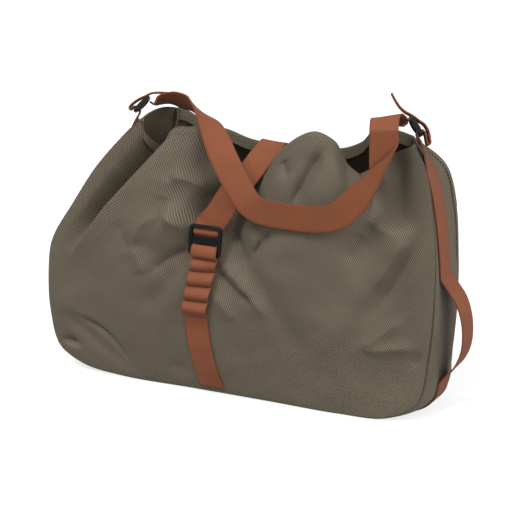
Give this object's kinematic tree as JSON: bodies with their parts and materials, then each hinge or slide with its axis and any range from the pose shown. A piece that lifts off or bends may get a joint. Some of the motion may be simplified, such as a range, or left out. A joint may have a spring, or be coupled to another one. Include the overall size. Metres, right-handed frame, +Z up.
{
  "type": "wader bag",
  "caption": "Soft open-topped cloth bag for carrying wet waders, with webbing round its narrow gusset, a draped shoulder strap and a buckled strap over the mouth.",
  "frame": {"origin": "middle of the base's underside, on the floor, halfway between the front and back seams", "axes": "+X to the right along the front, the front faces -Y, +Z up out of the mouth"},
  "size_m": [0.5462, 0.1573, 0.3902],
  "materials": {
    "cloth": "matt olive-grey nylon with a fine checked weave",
    "webbing": "matt burnt-orange flat webbing with a fine rib",
    "plastic": "black moulded nylon, satin"
  },
  "bodies": {
    "root": {"front_panel": "cloth", "back_panel": "cloth", "gusset_strip": "cloth", "carry_webbing": "webbing", "shoulder_strap": "webbing", "slider_left": "plastic", "slider_right": "plastic", "front_webbing": "webbing", "ladder_buckle": "plastic", "top_strap": "webbing"}
  },
  "joints": []
}
